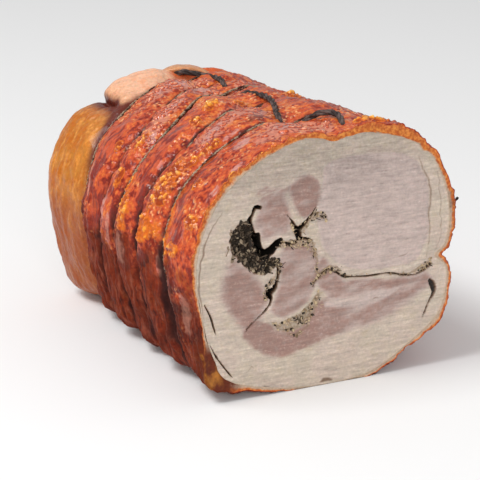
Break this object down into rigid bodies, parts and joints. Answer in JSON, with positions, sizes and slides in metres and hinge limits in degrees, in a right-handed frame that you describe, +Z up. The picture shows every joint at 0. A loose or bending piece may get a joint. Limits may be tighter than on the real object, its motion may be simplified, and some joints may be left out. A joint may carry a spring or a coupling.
{
  "type": "porchetta",
  "caption": "Rolled, tied and roasted pork with crackling rind, cut across to show pale meat round a herb-filled hollow.",
  "frame": {"origin": "under the middle of the roll, on the surface that it lies on", "axes": "+Z up; the roll lies along Y with its cut face toward -Y; +X to the right as seen looking at the cut face"},
  "size_m": [0.2159, 0.28, 0.181],
  "materials": {
    "roast_pork": "satin",
    "herbs": "matte",
    "twine": "matte",
    "charred_twine": "matte"
  },
  "bodies": {
    "root": {"pork_roll": "roast_pork", "herb_filling": "herbs", "twine_loop_1": "twine", "twine_loop_2": "twine", "twine_loop_3": "twine", "twine_loop_4": "twine", "twine_loop_5": "twine", "seam_twine": "charred_twine"}
  },
  "joints": []
}
